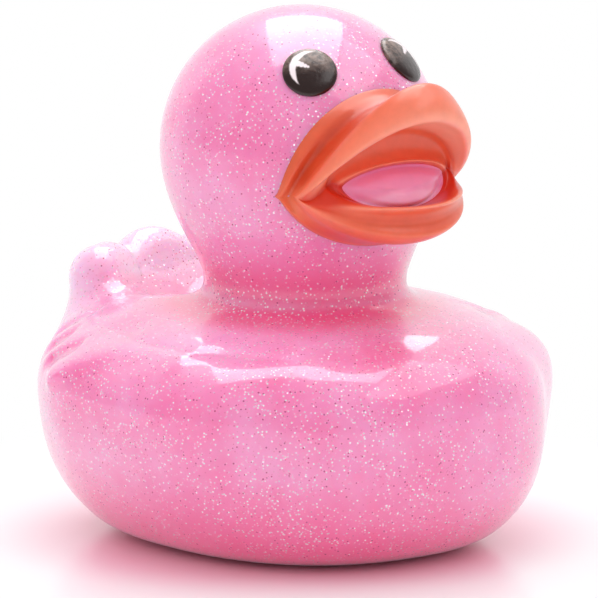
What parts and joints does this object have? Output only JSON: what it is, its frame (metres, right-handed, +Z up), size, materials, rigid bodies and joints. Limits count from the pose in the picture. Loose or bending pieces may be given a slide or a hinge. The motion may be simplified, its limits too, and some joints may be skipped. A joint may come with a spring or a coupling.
{
  "type": "rubber duck",
  "caption": "Hollow moulded bath duck with an open painted bill, domed eyes, wings in relief and an upturned tail, resting on a flat base.",
  "frame": {"origin": "the middle of the flat base: the middle of the duck's length and width, on the surface it stands on", "axes": "+Z up, -Y the way the bill points, +X the duck's left"},
  "size_m": [0.0743, 0.0792, 0.0804],
  "materials": {
    "glitter_vinyl": "glossy translucent pink vinyl with fine silver glitter; bill painted orange, tongue pink and eyes black"
  },
  "bodies": {
    "root": {"duck": "glitter_vinyl"}
  },
  "joints": []
}
